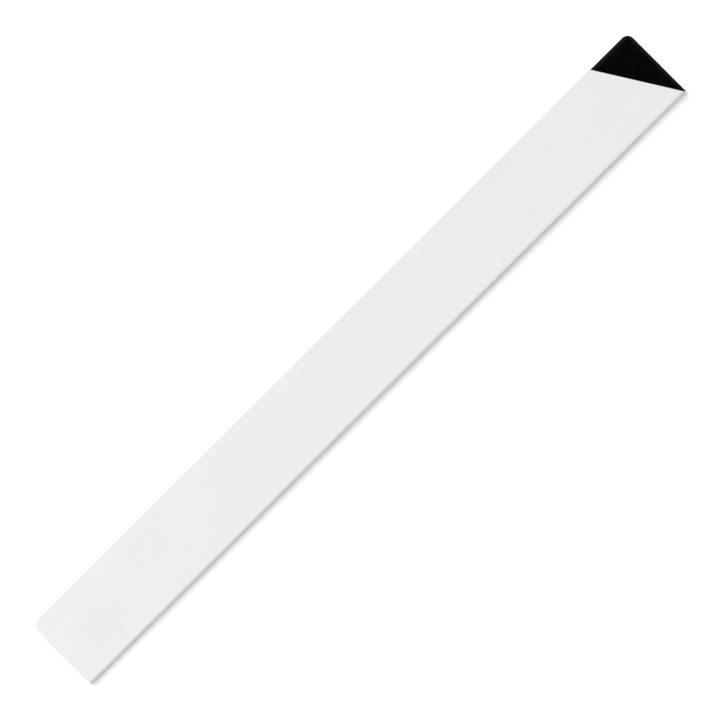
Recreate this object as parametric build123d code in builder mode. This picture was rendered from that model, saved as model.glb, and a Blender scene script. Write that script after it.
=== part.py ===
from build123d import *
import math
import os

# Folding magnetic guard for the blade of a long, narrow kitchen knife.
#
# One white polypropylene sheet, creased twice, closes round the blade like a book: back
# cover, back fold, spine, front fold, front cover. Each cover carries a strip of flexible
# magnet, and a lining of black felt covers the whole inside. It runs over the magnets,
# down their edges and through the creases. The magnets pull the two felt faces together
# on the blade. The front half is cut off at an angle at the handle end, which bares a
# corner of the back felt for the fingertip that opens the guard.
#
# X runs along the blade, towards the knife's handle. Y runs across, from the spine to the
# free edges. Z is up, and the outside of the back cover lies at zero. X and Y are zero in
# the middle of the closed guard.

# Outline of the closed guard, in millimetres
guard_length = 265.0
guard_width = 26.2
corner_radius = 2.6
notch_length = 17.0  # what the angled cut takes off the length at the free edge
notch_heel = 0.6  # what it takes off at the outside of the spine

# Layers of one half, from the outside in
cover_thickness = 0.4
tape_thickness = 0.1
magnet_thickness = 1.5
felt_thickness = 0.4

# Creases
fold_radius = 0.9  # outside of the closed fold
web_thickness = 0.25  # what pressing the crease leaves of the sheet

# Edges
lining_inset = 0.1  # from the sheet's cut edges back to the magnets and the felt
rim_radius = 0.1  # worn outer edges of the sheet
felt_rim_share = 0.6  # rolled edges of the felt's face, as a share of its thickness

# Heights of the layers of the back half
magnet_low_z = cover_thickness + tape_thickness
magnet_high_z = magnet_low_z + magnet_thickness
half_thickness = magnet_high_z + felt_thickness
guard_thickness = 2 * half_thickness
felt_rim_radius = felt_rim_share * felt_thickness

# Places across the guard: the sheet slopes down to its creases over one shoulder, and the
# felt stands on the sheet between the shoulder and the magnet
end_x = guard_length / 2
free_y = guard_width / 2
spine_y = -guard_width / 2
crease_y = spine_y + fold_radius
shoulder = cover_thickness - web_thickness
wall_y = crease_y + shoulder
magnet_y = wall_y + felt_thickness
crease_low_z = fold_radius
crease_high_z = guard_thickness - fold_radius
notch_slope = (notch_length - notch_heel) / guard_width


def end_at(y, notched, inset):
    """Where the handle end of one half lies, for a place across it."""
    if not notched:
        return end_x - inset
    return end_x - notch_heel - notch_slope * (y - spine_y) - inset * math.hypot(1, notch_slope)


def outline(notched, inset=0.0):
    """One half from above, with its cut edges moved in by an inset."""
    tip_x = inset - end_x
    edge_y = free_y - inset
    with BuildSketch() as plan:
        with BuildLine():
            Polyline(
                (tip_x, spine_y),
                (end_at(spine_y, notched, inset), spine_y),
                (end_at(edge_y, notched, inset), edge_y),
                (tip_x, edge_y),
                close=True,
            )
        make_face()
        free_corners = plan.vertices().group_by(Axis.Y)[-1].sort_by(Axis.X)
        fillet(free_corners[:1] if notched else free_corners, corner_radius - inset)
    return plan.sketch


# Cross-sections of the back half, across the guard and upwards

with BuildSketch() as cover_profile:
    with BuildLine():
        Polyline(
            (crease_y, 0),
            (free_y, 0),
            (free_y, cover_thickness),
            (wall_y, cover_thickness),
            (crease_y, web_thickness),
            close=True,
        )
    make_face()

with BuildSketch() as tape_profile:
    with BuildLine():
        Polyline(
            (magnet_y, cover_thickness),
            (free_y, cover_thickness),
            (free_y, magnet_low_z),
            (magnet_y, magnet_low_z),
            close=True,
        )
    make_face()

with BuildSketch() as magnet_profile:
    with BuildLine():
        Polyline(
            (magnet_y, magnet_low_z),
            (free_y, magnet_low_z),
            (free_y, magnet_high_z),
            (magnet_y, magnet_high_z),
            close=True,
        )
    make_face()

# The felt lies on the magnet, rolls over its edge and comes down to the crease
with BuildSketch() as felt_profile:
    with BuildLine():
        Polyline(
            (magnet_y, half_thickness),
            (free_y, half_thickness),
            (free_y, magnet_high_z),
            (magnet_y, magnet_high_z),
            (magnet_y, cover_thickness),
            (wall_y, cover_thickness),
            (crease_y, web_thickness),
            (crease_y, web_thickness + felt_thickness),
            (wall_y, cover_thickness + felt_thickness),
            (wall_y, magnet_high_z),
        )
        CenterArc((magnet_y, magnet_high_z), felt_thickness, 90, 90)
    make_face()


def quarter_ring(outer_radius, thickness):
    """Cross-section of a closed crease, from the cover round to the spine."""
    with BuildSketch() as ring:
        with BuildLine():
            outer = CenterArc((crease_y, crease_low_z), outer_radius, 180, 90)
            inner = CenterArc((crease_y, crease_low_z), outer_radius - thickness, 180, 90)
            Line(outer @ 0, inner @ 0)
            Line(outer @ 1, inner @ 1)
        make_face()
    return ring.sketch


# Cross-sections of the spine, which is pressed thin at both creases

with BuildSketch() as spine_profile:
    with BuildLine():
        Polyline(
            (spine_y, crease_low_z),
            (spine_y + web_thickness, crease_low_z),
            (spine_y + cover_thickness, crease_low_z + shoulder),
            (spine_y + cover_thickness, crease_high_z - shoulder),
            (spine_y + web_thickness, crease_high_z),
            (spine_y, crease_high_z),
            close=True,
        )
    make_face()

with BuildSketch() as spine_felt_profile:
    with BuildLine():
        bonded = Polyline(
            (spine_y + web_thickness, crease_low_z),
            (spine_y + cover_thickness, crease_low_z + shoulder),
            (spine_y + cover_thickness, crease_high_z - shoulder),
            (spine_y + web_thickness, crease_high_z),
        )
        facing = Polyline(
            (spine_y + web_thickness + felt_thickness, crease_low_z),
            (spine_y + cover_thickness + felt_thickness, crease_low_z + shoulder),
            (spine_y + cover_thickness + felt_thickness, crease_high_z - shoulder),
            (spine_y + web_thickness + felt_thickness, crease_high_z),
        )
        Line(bonded @ 0, facing @ 0)
        Line(bonded @ 1, facing @ 1)
    make_face()


def run(profile, plan):
    """A cross-section run along the guard and cut to an outline."""
    with BuildPart() as length:
        with BuildSketch(Plane.YZ.offset(-end_x)):
            add(profile)
        extrude(amount=guard_length)
        extrude(plan, amount=guard_thickness, mode=Mode.INTERSECT)
    return length


def cover(plan):
    """A cover, softened at its cut edges."""
    with BuildPart() as panel:
        add(run(cover_profile.sketch, plan).part)
        outer_face = panel.faces().sort_by(Axis.Z)[0]
        fillet(outer_face.edges().sort_by(Axis.Y)[1:], rim_radius)
    return panel


def fold(plan):
    """A closed crease of the sheet, softened at its ends."""
    with BuildPart() as crease:
        add(run(quarter_ring(fold_radius, web_thickness), plan).part)
        outer_face = crease.faces().filter_by(GeomType.CYLINDER).sort_by(SortBy.AREA)[-1]
        fillet(outer_face.edges().filter_by(Axis.X, reverse=True), rim_radius)
    return crease


def felt(plan):
    """The felt of one half, rolled at the edges of its face."""
    with BuildPart() as lining:
        add(run(felt_profile.sketch, plan).part)
        face = lining.faces().sort_by(Axis.Z)[-1]
        fillet(face.edges().sort_by(Axis.Y)[1:], felt_rim_radius)
    return lining


def half(notched):
    """The pieces of one half by name, lying as the back half lies."""
    sheet_plan = outline(notched)
    lining_plan = outline(notched, lining_inset)
    crease_felt = quarter_ring(fold_radius - web_thickness, felt_thickness)
    return {
        "cover": cover(sheet_plan),
        "tape": run(tape_profile.sketch, lining_plan),
        "magnet": run(magnet_profile.sketch, lining_plan),
        "felt": felt(lining_plan),
        "fold": fold(sheet_plan),
        "fold_felt": run(crease_felt, lining_plan),
    }


with BuildPart() as spine:
    add(run(spine_profile.sketch, outline(notched=False)).part)
    outer_face = spine.faces().sort_by(Axis.Y)[0]
    fillet(outer_face.edges().filter_by(Axis.Z), rim_radius)

spine_felt = run(spine_felt_profile.sketch, outline(notched=False, inset=lining_inset))

pieces = {f"back_{name}": piece for name, piece in half(notched=False).items()}
pieces["spine"] = spine
pieces["spine_felt"] = spine_felt

# The front half is the back half turned over onto it, and cut at the handle end
for name, piece in half(notched=True).items():
    with BuildPart() as front_piece:
        mirror(piece.part, about=Plane.XY.offset(half_thickness))
    pieces[f"front_{name}"] = front_piece

# A crease turns as if about one line that stays put, where the middle of the web keeps its
# length while it straightens
web_middle_radius = fold_radius - web_thickness / 2
hinge_offset = web_middle_radius * math.pi / 4
hinge_y = crease_y - hinge_offset
print("crease axes lie at y", round(hinge_y, 4))
print("back crease axis at z", round(crease_low_z - hinge_offset, 4))
print("front crease axis at z", round(crease_high_z + hinge_offset, 4))

os.makedirs("parts", exist_ok=True)
for name, piece in pieces.items():
    piece.part.label = name
    export_step(piece.part, f"parts/{name}.step")
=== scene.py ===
import math

import bmesh
import bpy
from mathutils import Matrix, Vector, noise


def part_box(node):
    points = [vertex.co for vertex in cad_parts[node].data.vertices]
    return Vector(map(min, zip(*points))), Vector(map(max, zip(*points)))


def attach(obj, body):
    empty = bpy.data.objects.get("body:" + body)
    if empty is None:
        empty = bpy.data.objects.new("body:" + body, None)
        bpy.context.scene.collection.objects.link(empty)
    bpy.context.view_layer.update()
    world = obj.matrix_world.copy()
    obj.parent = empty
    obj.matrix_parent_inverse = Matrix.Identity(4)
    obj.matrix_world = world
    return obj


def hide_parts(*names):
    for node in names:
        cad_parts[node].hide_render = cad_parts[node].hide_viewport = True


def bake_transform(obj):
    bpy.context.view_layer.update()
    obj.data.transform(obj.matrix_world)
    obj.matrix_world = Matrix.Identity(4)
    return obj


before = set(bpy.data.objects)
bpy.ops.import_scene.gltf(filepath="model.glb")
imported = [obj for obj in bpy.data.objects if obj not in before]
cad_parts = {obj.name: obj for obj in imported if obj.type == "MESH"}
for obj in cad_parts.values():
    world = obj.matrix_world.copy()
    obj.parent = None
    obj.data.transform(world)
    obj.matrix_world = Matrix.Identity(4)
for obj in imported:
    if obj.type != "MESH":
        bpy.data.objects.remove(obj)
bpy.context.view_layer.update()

# Folding magnetic guard for a narrow knife blade, lying shut on a pale floor. Its covers, spine,
# magnets and tapes are the CAD nodes. Its felt and its two creases are made here, because felt
# is soft and creases bend. Lengths are in millimetres as far as the floor, unless a comment says
# metres.

MM = 0.001


def node_corners(name):
    """The lowest and highest corners of a CAD node, in millimetres."""
    return [[round(metres / MM, 4) for metres in corner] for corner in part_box(name)]


# Places and thicknesses in the back half, from the frame
(_, CREASE_Y, _), (HALF_LENGTH, FREE_Y, SHEET) = node_corners("back_cover")
(_, SPINE_Y, FOLD_RADIUS), _ = node_corners("spine")
(_, MAGNET_Y, _), (_, _, MAGNET_TOP) = node_corners("back_magnet")
(_, _, WEB), (LINING_X, LINING_Y, HALF_THICKNESS) = node_corners("back_felt")
THICKNESS = 2 * HALF_THICKNESS
FELT = round(HALF_THICKNESS - MAGNET_TOP, 4)

# Outline of the guard, and of the lining just inside its cut edges
CORNER_RADIUS = 2.6
CUT_LENGTH = 17.0  # what the angled cut takes off the length at the free edge
CUT_HEEL = 0.6  # what it takes off at the outside of the spine
CUT_SLOPE = (CUT_LENGTH - CUT_HEEL) / (FREE_Y - SPINE_Y)
INSET = round(HALF_LENGTH - LINING_X, 4)
LINING_RADIUS = CORNER_RADIUS - INSET

# Creases, where the sheet slopes down over a shoulder to its thin web
CREASE_Z = FOLD_RADIUS
SHOULDER = SHEET - WEB
WALL_Y = CREASE_Y + SHOULDER  # where the felt stands up along the magnet
FELT_OUTER = FOLD_RADIUS - WEB
FELT_INNER = FELT_OUTER - FELT
SHEET_RIM = 0.1  # radius of the web's worn outer edges

# Softness of the felt
FELT_RIM = 0.24  # radius of its rolled edges
THINNING = 0.07  # how much thinner it gets towards a cut edge
THINNING_RUN = 1.3  # how far in from the edge that starts
UNEVENNESS = 0.045
BROAD_PATCH = (11, 7)  # length and width of its broad unevenness
BROAD_SHARE = 0.32
FINE_PATCH = (3.1, 2.6)
FINE_SHARE = 0.18
HALF_SHIFT = 3.0  # makes the two halves uneven in different ways
PUFF = 0.1  # how far the bared corner rises, where nothing presses on it
PUFF_START = 0.2  # how far beyond the cut it starts to rise
PUFF_RUN = 1.6

# Rows and columns of the grids
LINING_STEPS = (0.0, 0.02, 0.06, 0.12, 0.18, 0.24, 0.36, 0.52, 0.74, 1.0, 1.3, 1.7)
SHEET_STEPS = (0.0, 0.015, 0.04, 0.07, SHEET_RIM)
STEP = 1.0  # between the felt's points, away from its edges
SHEET_SPANS = 53  # along a crease of the sheet, away from its ends
WALL_ROWS = 5
ROLL_ROWS = 6
FELT_CREASE_ROWS = 14
SHEET_CREASE_ROWS = 24
SPINE_ROWS = 4
SHARP_ANGLE = 40  # in degrees, from which the edge between two faces shows


# Outline. The front half is notched, which means cut off at an angle towards the handle.


def cut_off(y):
    """What the angled cut takes off the length, for a place across the guard."""
    return CUT_HEEL + CUT_SLOPE * (y - SPINE_Y)


def lining_end(y, notched):
    """Where the lining ends towards the handle, for a place across the guard."""
    if not notched:
        return LINING_X
    return HALF_LENGTH - cut_off(y) - INSET * math.hypot(1, CUT_SLOPE)


def beyond_cut(x, y):
    """How far a point lies beyond the end of the front lining, square to the cut."""
    return (x - lining_end(y, notched=True)) / math.hypot(1, CUT_SLOPE)


def rounding(depth, radius):
    """What a rounded corner or edge takes off, at some depth inside it."""
    if depth >= radius:
        return 0.0
    return radius - math.sqrt(radius ** 2 - (radius - depth) ** 2)


def edge_distance(x, y, notched):
    """Distance from a point of the lining to its nearest cut edge."""
    free = LINING_Y - y
    tip = x + LINING_X
    handle = -beyond_cut(x, y) if notched else LINING_X - x
    distance = min(free, tip, handle)
    rounded_ends = [tip] if notched else [tip, handle]
    for end in rounded_ends:
        if max(free, end) < LINING_RADIUS:
            from_centre = math.hypot(LINING_RADIUS - free, LINING_RADIUS - end)
            distance = min(distance, LINING_RADIUS - from_centre)
    return max(distance, 0.0)


# Grids of points, and the closed skins made from them


def spaced(low, high, steps, spans):
    """Places from low to high: at steps in from both ends, and at even spans between them."""
    inner_low = low + steps[-1]
    inner_high = high - steps[-1]
    places = [low + step for step in steps]
    places += [inner_low + (inner_high - inner_low) * k / spans for k in range(1, spans)]
    places += [high - step for step in reversed(steps)]
    return places


def lining_places(y, notched):
    """Places along one row of the lining, close together at its ends."""
    setback = rounding(LINING_Y - y, LINING_RADIUS)
    low = setback - LINING_X
    high = lining_end(y, notched)
    if not notched:
        high -= setback
    return spaced(low, high, LINING_STEPS, round(2 * HALF_LENGTH / STEP))


def turned_over(grids):
    """The same grids on the front half."""
    return [[[(x, y, THICKNESS - z) for x, y, z in row] for row in grid] for grid in grids]


def border(grid):
    """The points round the edge of a grid, in order."""
    last_column = [row[-1] for row in grid[1:]]
    first_column = [row[0] for row in grid[-2:0:-1]]
    return grid[0] + last_column + grid[-1][-2::-1] + first_column


def add_object(name, data):
    """A new object in the scene."""
    made = bpy.data.objects.new(name, data)
    bpy.context.scene.collection.objects.link(made)
    return made


def shell(name, grids, material):
    """A closed skin between two grids of points, which have the same rows and columns."""
    work = bmesh.new()
    skins = [
        [[work.verts.new(Vector(point) * MM) for point in row] for row in grid]
        for grid in grids
    ]
    for skin in skins:
        for row, next_row in zip(skin, skin[1:]):
            for k in range(len(row) - 1):
                work.faces.new((row[k], row[k + 1], next_row[k + 1], next_row[k]))
    rim = list(zip(border(skins[0]), border(skins[1])))
    for here, ahead in zip(rim, rim[1:] + rim[:1]):
        work.faces.new((here[0], ahead[0], ahead[1], here[1]))
    bmesh.ops.recalc_face_normals(work, faces=work.faces)
    mesh = bpy.data.meshes.new(name)
    work.to_mesh(mesh)
    work.free()
    mesh.shade_smooth()
    mesh.set_sharp_from_angle(angle=math.radians(SHARP_ANGLE))
    mesh.materials.append(material)
    piece = add_object(name, mesh)
    return piece


# Shader helpers


def empty_tree(owner):
    """The node tree of a material or a world, with nothing in it."""
    owner.use_nodes = True
    owner.node_tree.nodes.clear()
    return owner.node_tree


def node(tree, kind, inputs=None, **settings):
    """A shader node, with each of its inputs linked to a socket or set to a value."""
    made = tree.nodes.new("ShaderNode" + kind)
    for key, value in settings.items():
        setattr(made, key, value)
    for key, value in (inputs or {}).items():
        if isinstance(value, bpy.types.NodeSocket):
            tree.links.new(value, made.inputs[key])
        else:
            made.inputs[key].default_value = value
    return made


def new_material(name):
    """A material, its tree and the coordinates of its surface in millimetres."""
    material = bpy.data.materials.new(name)
    tree = empty_tree(material)
    place = node(tree, "TexCoord").outputs["Object"]
    scaled = node(tree, "VectorMath", {0: place, "Scale": 1 / MM}, operation="SCALE")
    return material, tree, scaled.outputs[0]


def add_surface(tree, inputs):
    """The Principled shader of a material, with its inputs."""
    shader = node(tree, "BsdfPrincipled", inputs)
    node(tree, "OutputMaterial", {"Surface": shader.outputs[0]})


def noise_texture(tree, place, scale, detail=2, roughness=0.5, stretch=None, turn=0):
    """A noise whose scale is in features per millimetre. It may be turned, in degrees, and then
    squeezed along each axis by a stretch."""
    if stretch is not None:
        turned = {"Vector": place, "Rotation": (0, 0, math.radians(-turn))}
        place = node(tree, "Mapping", turned).outputs[0]
        place = node(tree, "Mapping", {"Vector": place, "Scale": stretch}).outputs[0]
    inputs = {"Vector": place, "Scale": scale, "Detail": detail, "Roughness": roughness}
    return node(tree, "TexNoise", inputs).outputs[0]


def ranged(tree, value, low, high, new_low=0.0, new_high=1.0):
    """A value taken from one range to another, and kept inside it."""
    inputs = {
        "Value": value,
        "From Min": low,
        "From Max": high,
        "To Min": new_low,
        "To Max": new_high,
    }
    return node(tree, "MapRange", inputs).outputs[0]


def blended(tree, factor, first, second):
    """A colour between two colours. A Mix node takes colours at 6 and 7, and gives one at 2."""
    return node(tree, "Mix", {0: factor, 6: first, 7: second}, data_type="RGBA").outputs[2]


def calc(tree, operation, first, second=0.0):
    """The result of a Math node."""
    return node(tree, "Math", {0: first, 1: second}, operation=operation).outputs[0]


def weighted(tree, *parts):
    """The sum of two values, each given with its weight."""
    first, second = [calc(tree, "MULTIPLY", value, weight) for value, weight in parts]
    return calc(tree, "ADD", first, second)


def bumped(tree, height, distance, strength, under=None):
    """A normal for a relief of some depth in millimetres, over another relief if one is given."""
    inputs = {"Height": height, "Distance": distance * MM, "Strength": strength}
    if under is not None:
        inputs["Normal"] = under
    return node(tree, "Bump", inputs).outputs[0]


# Materials


def white_sheet():
    """Satin white polypropylene: a fine moulded grain, a faint cloudiness and light rubbing."""
    material, tree, place = new_material("white_sheet")
    cloud = noise_texture(tree, place, scale=0.035, detail=3)
    mottle = noise_texture(tree, place, scale=0.6, detail=3, roughness=0.6)
    tone = weighted(tree, (cloud, 0.7), (mottle, 0.3))
    dark = (0.822, 0.822, 0.822, 1)
    pale = (0.850, 0.850, 0.850, 1)
    rubbed = noise_texture(
        tree, place, scale=0.5, detail=4, roughness=0.65, stretch=(0.12, 1, 1), turn=8
    )
    waves = noise_texture(tree, place, scale=0.045, detail=1)
    wavy = bumped(tree, waves, distance=0.12, strength=0.35)
    grain = noise_texture(tree, place, scale=5, roughness=0.55)
    add_surface(
        tree,
        {
            "Base Color": blended(tree, ranged(tree, tone, 0.3, 0.7), dark, pale),
            "Roughness": ranged(tree, rubbed, 0.35, 0.7, 0.4, 0.47),
            "Normal": bumped(tree, grain, distance=0.012, strength=0.8, under=wavy),
            "IOR": 1.49,
        },
    )
    return material


def fibre_layer(tree, place, turn, stretch):
    """Thin curved lines that run mostly one way, where a drawn-out noise passes its middle."""
    drawn = noise_texture(tree, place, scale=1, detail=1, stretch=stretch, turn=turn)
    away = calc(tree, "ABSOLUTE", calc(tree, "SUBTRACT", drawn, 0.5))
    return ranged(tree, away, 0.0, 0.04, 1.0, 0.0)


def painted_rim_highlight(tree, place, tuft):
    """Painted highlight along the felt's cut edges, standing in for their sheen: strongest at its
    free edge, which faces the strip of light, weaker at its ends, and more on its tufts.
    """
    axes = node(tree, "SeparateXYZ", {0: place})
    from_free = calc(tree, "SUBTRACT", LINING_Y, axes.outputs[1])
    from_end = calc(tree, "SUBTRACT", LINING_X, calc(tree, "ABSOLUTE", axes.outputs[0]))
    # Painted highlight: paler towards the free edge, which faces the light, and less towards the
    # ends
    free_highlight = ranged(tree, from_free, 0.15, 1.6, 1.0, 0.0)
    end_highlight = ranged(tree, from_end, 0.15, 1.5, 0.7, 0.0)
    edge_highlight = calc(tree, "MAXIMUM", free_highlight, end_highlight)
    return calc(tree, "MULTIPLY", edge_highlight, ranged(tree, tuft, 0.45, 0.9, 0.4, 1.0))


def black_felt():
    """Black needled felt: tangled fibres over a cloudy mat, with a painted highlight along its cut
    edges.
    """
    material, tree, place = new_material("black_felt")
    layers = (
        (14, (0.9, 5.5, 4.0)),
        (67, (0.7, 4.5, 4.0)),
        (109, (0.8, 6.0, 4.0)),
        (158, (1.0, 5.0, 4.0)),
    )
    fibres = 0.0
    for turn, stretch in layers:
        fibres = calc(tree, "MAXIMUM", fibre_layer(tree, place, turn, stretch), fibres)
    clumps = noise_texture(tree, place, scale=0.8, detail=4, roughness=0.65)
    tuft = weighted(tree, (fibres, 0.45), (clumps, 0.7))
    deep = (0.0001, 0.0001, 0.0001, 1)
    raised = (0.0095, 0.0095, 0.0098, 1)
    # Colour of the painted highlight along the felt's cut edges
    wear_and_highlight = (0.038, 0.038, 0.0383, 1)
    felt_tone = blended(tree, ranged(tree, tuft, 0.5, 0.95), deep, raised)
    add_surface(
        tree,
        {
            "Base Color": blended(tree, painted_rim_highlight(tree, place, tuft), felt_tone, wear_and_highlight),
            "Roughness": 0.95,
            "Normal": bumped(tree, tuft, distance=0.12, strength=0.9),
            "Specular IOR Level": 0.01,
            "Sheen Weight": 0.015,
            "Sheen Roughness": 0.5,
        },
    )
    return material


def magnet_strip():
    """Flexible magnet: matte brown-grey, with fine lines left by extrusion on its cut edges."""
    material, tree, place = new_material("magnet_strip")
    lines = noise_texture(tree, place, scale=1, detail=3, roughness=0.6, stretch=(0.05, 0.05, 9))
    specks = noise_texture(tree, place, scale=4, detail=3, roughness=0.6)
    mixed = weighted(tree, (lines, 0.6), (specks, 0.4))
    dark = (0.030, 0.027, 0.025, 1)
    pale = (0.058, 0.052, 0.047, 1)
    add_surface(
        tree,
        {
            "Base Color": blended(tree, ranged(tree, mixed, 0.35, 0.65), dark, pale),
            "Roughness": ranged(tree, specks, 0.3, 0.7, 0.55, 0.75),
            "Normal": bumped(tree, mixed, distance=0.05, strength=0.8),
        },
    )
    return material


def adhesive_tape():
    """Pale double-sided tape, seen only at its cut edge."""
    material, tree, place = new_material("adhesive_tape")
    streaks = noise_texture(tree, place, scale=1.2, detail=3, roughness=0.6, stretch=(0.4, 1, 6))
    dark = (0.66, 0.64, 0.58, 1)
    pale = (0.78, 0.77, 0.73, 1)
    add_surface(
        tree,
        {
            "Base Color": blended(tree, ranged(tree, streaks, 0.35, 0.65), dark, pale),
            "Roughness": ranged(tree, streaks, 0.3, 0.7, 0.3, 0.5),
            "Normal": bumped(tree, streaks, distance=0.03, strength=0.7),
        },
    )
    return material


# CAD nodes that show, which take their materials by the last word of their names

sheet_material = white_sheet()
felt_material = black_felt()
node_materials = {
    "cover": sheet_material,
    "spine": sheet_material,
    "magnet": magnet_strip(),
    "tape": adhesive_tape(),
}
for name, cad_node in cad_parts.items():
    last_word = name.split("_")[-1]
    if last_word in node_materials:
        cad_node.data.materials.clear()
        cad_node.data.materials.append(node_materials[last_word])


# Felt. What is made for one half lies as the back half lies, and is turned over for the front.


def smooth(share):
    """A share from 0 to 1 that starts and stops gently."""
    share = min(max(share, 0.0), 1.0)
    return share * share * (3 - 2 * share)


def patchy(x, y, z, patch, shift):
    """Smooth noise in patches of some length and width."""
    length, width = patch
    return noise.noise(Vector((x / length, y / width, z / width + shift)))


def felt_drop(x, y, z, notched):
    """How far the felt's face lies below its full thickness."""
    distance = edge_distance(x, y, notched)
    drop = THINNING * (1 - smooth(distance / THINNING_RUN)) + rounding(distance, FELT_RIM)
    shift = HALF_SHIFT if notched else -HALF_SHIFT
    broad = patchy(x, y, z, BROAD_PATCH, shift)
    fine = patchy(x, y, z, FINE_PATCH, -shift)
    return drop + UNEVENNESS * (0.5 + BROAD_SHARE * broad + FINE_SHARE * fine)


# Ways that the felt's face looks, as y and z
UP = (0.0, 1.0)
TO_SPINE = (-1.0, 0.0)
BETWEEN = (-0.5, 0.87)


def magnet_edge_rows():
    """Rows of a panel's felt up the magnet's edge and over it. Each has the face's place, the way
    it looks, and the bonded side's place, as y and z."""
    face = []
    for k in range(1, WALL_ROWS + 1):
        z = SHEET + FELT + (MAGNET_TOP - SHEET - FELT) * k / WALL_ROWS
        face.append((WALL_Y, z, *TO_SPINE))
    for k in range(1, ROLL_ROWS + 1):
        angle = math.radians(90 * k / ROLL_ROWS)
        out_y, out_z = -math.cos(angle), math.sin(angle)
        face.append((MAGNET_Y + FELT * out_y, MAGNET_TOP + FELT * out_z, out_y, out_z))

    # The bonded side turns over the magnet's edge one row before the face is level
    climb = (MAGNET_TOP - SHEET) / (len(face) - 2)
    past_edge = 0.15
    bonded = [(MAGNET_Y, SHEET + climb * k) for k in range(len(face) - 1)]
    bonded.append((MAGNET_Y + past_edge, MAGNET_TOP))
    return [(*outside, *inside) for outside, inside in zip(face, bonded)]


def panel_rows():
    """All rows of a panel's felt, from the crease to the free edge."""
    span = LINING_Y - LINING_STEPS[-1] - MAGNET_Y
    count = round(span / STEP)
    across = [MAGNET_Y + span * k / count for k in range(1, count)]
    across += [LINING_Y - step for step in reversed(LINING_STEPS)]
    return [
        (CREASE_Y, WEB + FELT, *UP, CREASE_Y, WEB),
        (WALL_Y, SHEET + FELT, *BETWEEN, WALL_Y, SHEET),
        *magnet_edge_rows(),
        *[(y, HALF_THICKNESS, *UP, y, MAGNET_TOP) for y in across],
    ]


def panel_felt(notched):
    """Face and bonded side of one half's felt. The bared corner of the back one rises a little."""
    face, bonded = [], []
    for y, z, out_y, out_z, bonded_y, bonded_z in panel_rows():
        on_magnet = out_z == 1.0 and z > MAGNET_TOP
        row = []
        for x in lining_places(y, notched):
            drop = felt_drop(x, y, z, notched)
            if on_magnet and not notched:
                drop -= PUFF * smooth((beyond_cut(x, y) - PUFF_START) / PUFF_RUN)
            row.append((x, y - drop * out_y, z - drop * out_z))
        face.append(row)
        bonded.append([(x, bonded_y, bonded_z) for x in lining_places(bonded_y, notched)])
    return face, bonded


def ring(radius, share):
    """A point of a closed crease's cross-section, from the cover round to the spine."""
    angle = math.radians(90 * share)
    return CREASE_Y - radius * math.sin(angle), CREASE_Z - radius * math.cos(angle)


def crease_felt(notched):
    """Face and bonded side of a closed crease's felt."""
    face, bonded = [], []
    for k in range(FELT_CREASE_ROWS + 1):
        share = k / FELT_CREASE_ROWS
        y, z = ring(FELT_INNER, share)
        row = []
        for x in lining_places(y, notched):
            reach = FELT_INNER + felt_drop(x, y, z, notched)
            row.append((x, *ring(reach, share)))
        face.append(row)
        bonded_y, bonded_z = ring(FELT_OUTER, share)
        bonded.append([(x, bonded_y, bonded_z) for x in lining_places(bonded_y, notched)])
    return face, bonded


def spine_felt():
    """Face and bonded side of the spine's felt, which follows the sheet down its shoulders."""
    low, high = CREASE_Z, THICKNESS - CREASE_Z
    flat = high - low - 2 * SHOULDER
    rows = [(SPINE_Y + WEB, low)]
    for k in range(SPINE_ROWS + 1):
        rows.append((SPINE_Y + SHEET, low + SHOULDER + flat * k / SPINE_ROWS))
    rows.append((SPINE_Y + WEB, high))
    face, bonded = [], []
    for bonded_y, z in rows:
        y = bonded_y + FELT
        places = lining_places(y, notched=False)
        face.append([(x, y - felt_drop(x, y, z, notched=False), z) for x in places])
        bonded.append([(x, bonded_y, z) for x in places])
    return face, bonded


def add_lining(name, grids, cad_node, body=None):
    """A piece of felt for a CAD node, which is hidden. It rides on a body, if one is given."""
    piece = shell(name, grids, felt_material)
    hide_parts(cad_node)
    if body is not None:
        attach(piece, body)
    return piece


back_lining = add_lining("back_lining", panel_felt(notched=False), "back_felt", "back_half")
front_panel = turned_over(panel_felt(notched=True))
front_lining = add_lining("front_lining", front_panel, "front_felt", "front_half")
spine_lining = add_lining("spine_lining", spine_felt(), "spine_felt", "spine_strip")
back_crease_lining = add_lining("back_crease_lining", crease_felt(notched=False), "back_fold_felt")
front_ring = turned_over(crease_felt(notched=True))
front_crease_lining = add_lining("front_crease_lining", front_ring, "front_fold_felt")


# Creases of the white sheet


def crease_skin(radius, notched, rim):
    """One skin of a closed crease, with its cut ends rounded to a rim's radius."""
    rows = []
    for k in range(SHEET_CREASE_ROWS + 1):
        share = k / SHEET_CREASE_ROWS
        y, _ = ring(radius, share)
        low, high = -HALF_LENGTH, HALF_LENGTH
        if notched:
            high -= cut_off(y)
        row = []
        for x in spaced(low, high, SHEET_STEPS, SHEET_SPANS):
            # How much the rounded rim takes off the crease at its cut ends
            wear_and_highlight = rounding(min(x - low, high - x), rim)
            row.append((x, *ring(radius - wear_and_highlight, share)))
        rows.append(row)
    return rows


def crease_sheet(notched):
    """Outer and inner skins of a closed crease. Only the outer one is worn at its ends."""
    outer = crease_skin(FOLD_RADIUS, notched, SHEET_RIM)
    inner = crease_skin(FOLD_RADIUS - WEB, notched, 0.0)
    return outer, inner


back_crease_sheet = shell("back_crease_sheet", crease_sheet(notched=False), sheet_material)
front_web = turned_over(crease_sheet(notched=True))
front_crease_sheet = shell("front_crease_sheet", front_web, sheet_material)
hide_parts("back_fold")
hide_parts("front_fold")


# Both creases, with their places baked into their meshes


for sheet, lining, bodies, front in (
    (back_crease_sheet, back_crease_lining, ("back_half", "spine_strip"), False),
    (front_crease_sheet, front_crease_lining, ("spine_strip", "front_half"), True),
):
    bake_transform(sheet)
    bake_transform(lining)


# Floor, light and camera, in metres


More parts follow.
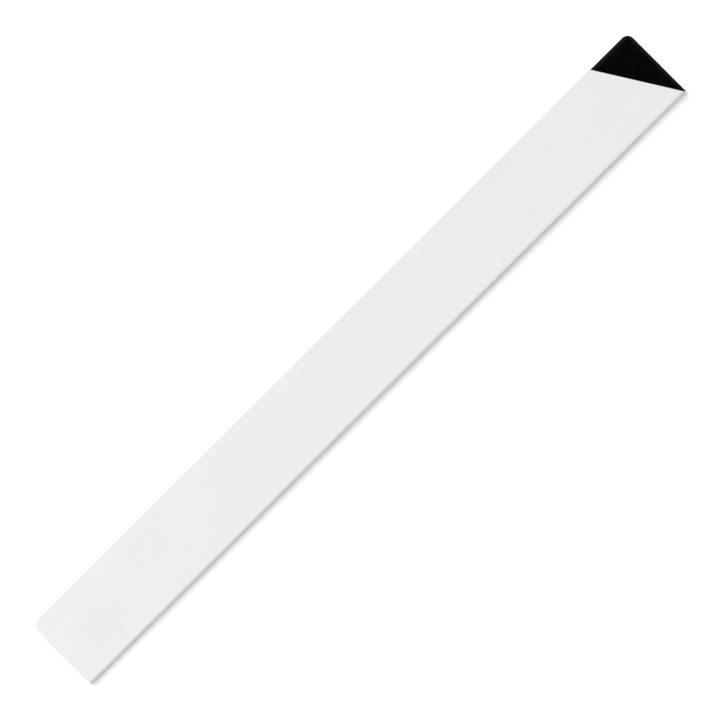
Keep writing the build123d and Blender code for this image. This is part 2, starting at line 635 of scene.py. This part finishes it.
def seen_rays(tree):
    """1 for rays from the camera, straight or by way of something glossy or clear, and else 0."""
    rays = node(tree, "LightPath").outputs
    seen = calc(tree, "MAXIMUM", rays["Is Camera Ray"], rays["Is Glossy Ray"])
    return calc(tree, "MAXIMUM", seen, rays["Is Transmission Ray"])


def add_floor():
    """A pale floor that keeps the shadow, and is white to the camera where nothing shades it."""
    reach = 4.0
    clearance = 0.00005
    glow_level = 0.225
    corners = (-reach, -reach), (reach, -reach), (reach, reach), (-reach, reach)
    mesh = bpy.data.meshes.new("floor")
    mesh.from_pydata([(x, y, -clearance) for x, y in corners], [], [(0, 1, 2, 3)])
    material = bpy.data.materials.new("floor")
    tree = empty_tree(material)
    glow = node(tree, "Emission", {"Strength": calc(tree, "MULTIPLY", seen_rays(tree), glow_level)})
    matte = node(tree, "BsdfDiffuse", {"Color": (0.92, 0.92, 0.92, 1)})
    both = node(tree, "AddShader", {0: glow.outputs[0], 1: matte.outputs[0]})
    node(tree, "OutputMaterial", {"Surface": both.outputs[0]})
    mesh.materials.append(material)
    add_object("floor", mesh)


def add_world():
    """A weak white fill, which is plain white to the camera."""
    fill_level = 0.237
    world = bpy.data.worlds.new("studio")
    bpy.context.scene.world = world
    tree = empty_tree(world)
    fill = node(tree, "Background", {"Color": (1, 1, 1, 1), "Strength": fill_level})
    white = node(tree, "Background", {"Color": (1, 1, 1, 1), "Strength": 1.0})
    mixed = node(tree, "MixShader", {0: seen_rays(tree), 1: fill.outputs[0], 2: white.outputs[0]})
    node(tree, "OutputWorld", {"Surface": mixed.outputs[0]})


def add_lamp(name, kind, energy, place, target=(0, 0, 0)):
    """A lamp that shines from a place towards a target. For a sun the two only give a direction."""
    lamp = bpy.data.lights.new(name, kind)
    lamp.energy = energy
    holder = add_object(name, lamp)
    holder.location = place
    holder.rotation_mode = "QUATERNION"
    holder.rotation_quaternion = (Vector(target) - Vector(place)).to_track_quat("-Z", "Y")
    return lamp


def add_lights():
    """A strip of light across the guard, from overhead towards the free edges' side, a low fill on
    the spine's side and a softbox nearer the tip. The strip is a row of soft suns, narrow along the
    guard, so that only the spine throws a shadow that shows."""
    strip_angles = (7, 0), (14, 0), (22, 8), (32, 0)  # from overhead, and towards the handle
    for number, (zenith, lean) in enumerate(strip_angles):
        across, along = math.radians(zenith), math.radians(lean)
        above = math.tan(along), math.sin(across), math.cos(across)
        strip = add_lamp(f"strip_{number}", "SUN", energy=0.49, place=above)
        strip.angle = math.radians(10)
    low = math.radians(76)
    beside = 0, -math.sin(low), math.cos(low)
    side_fill = add_lamp("side_fill", "SUN", energy=0.25, place=beside)
    side_fill.angle = math.radians(24)
    near_tip = -0.5, 0.25, 0.55
    softbox = add_lamp("softbox", "AREA", energy=0.71, place=near_tip, target=(-0.05, 0, 0))
    softbox.size = 0.4


def add_camera():
    """A camera nearly overhead, turned so that the guard's handle end is at the upper right."""
    place = Vector((0.00476, -0.03991, 1.99959))
    aim = Vector((-0.00035, -0.00064, 0.0024))
    heading = math.radians(45.12)  # of the picture's upward direction, seen from above
    camera = bpy.data.cameras.new("camera")
    camera.sensor_width = 36
    camera.lens = 316.57
    camera.clip_start = 0.05
    camera.clip_end = 20
    eye = add_object("camera", camera)
    back = (place - aim).normalized()
    right = Vector((math.cos(heading), math.sin(heading), 0)).cross(back).normalized()
    turn = Matrix((right, back.cross(right), back)).transposed().to_4x4()
    eye.matrix_world = Matrix.Translation(place) @ turn
    bpy.context.scene.camera = eye


add_floor()
add_world()
add_lights()
add_camera()
bpy.context.scene.view_settings.view_transform = "Standard"
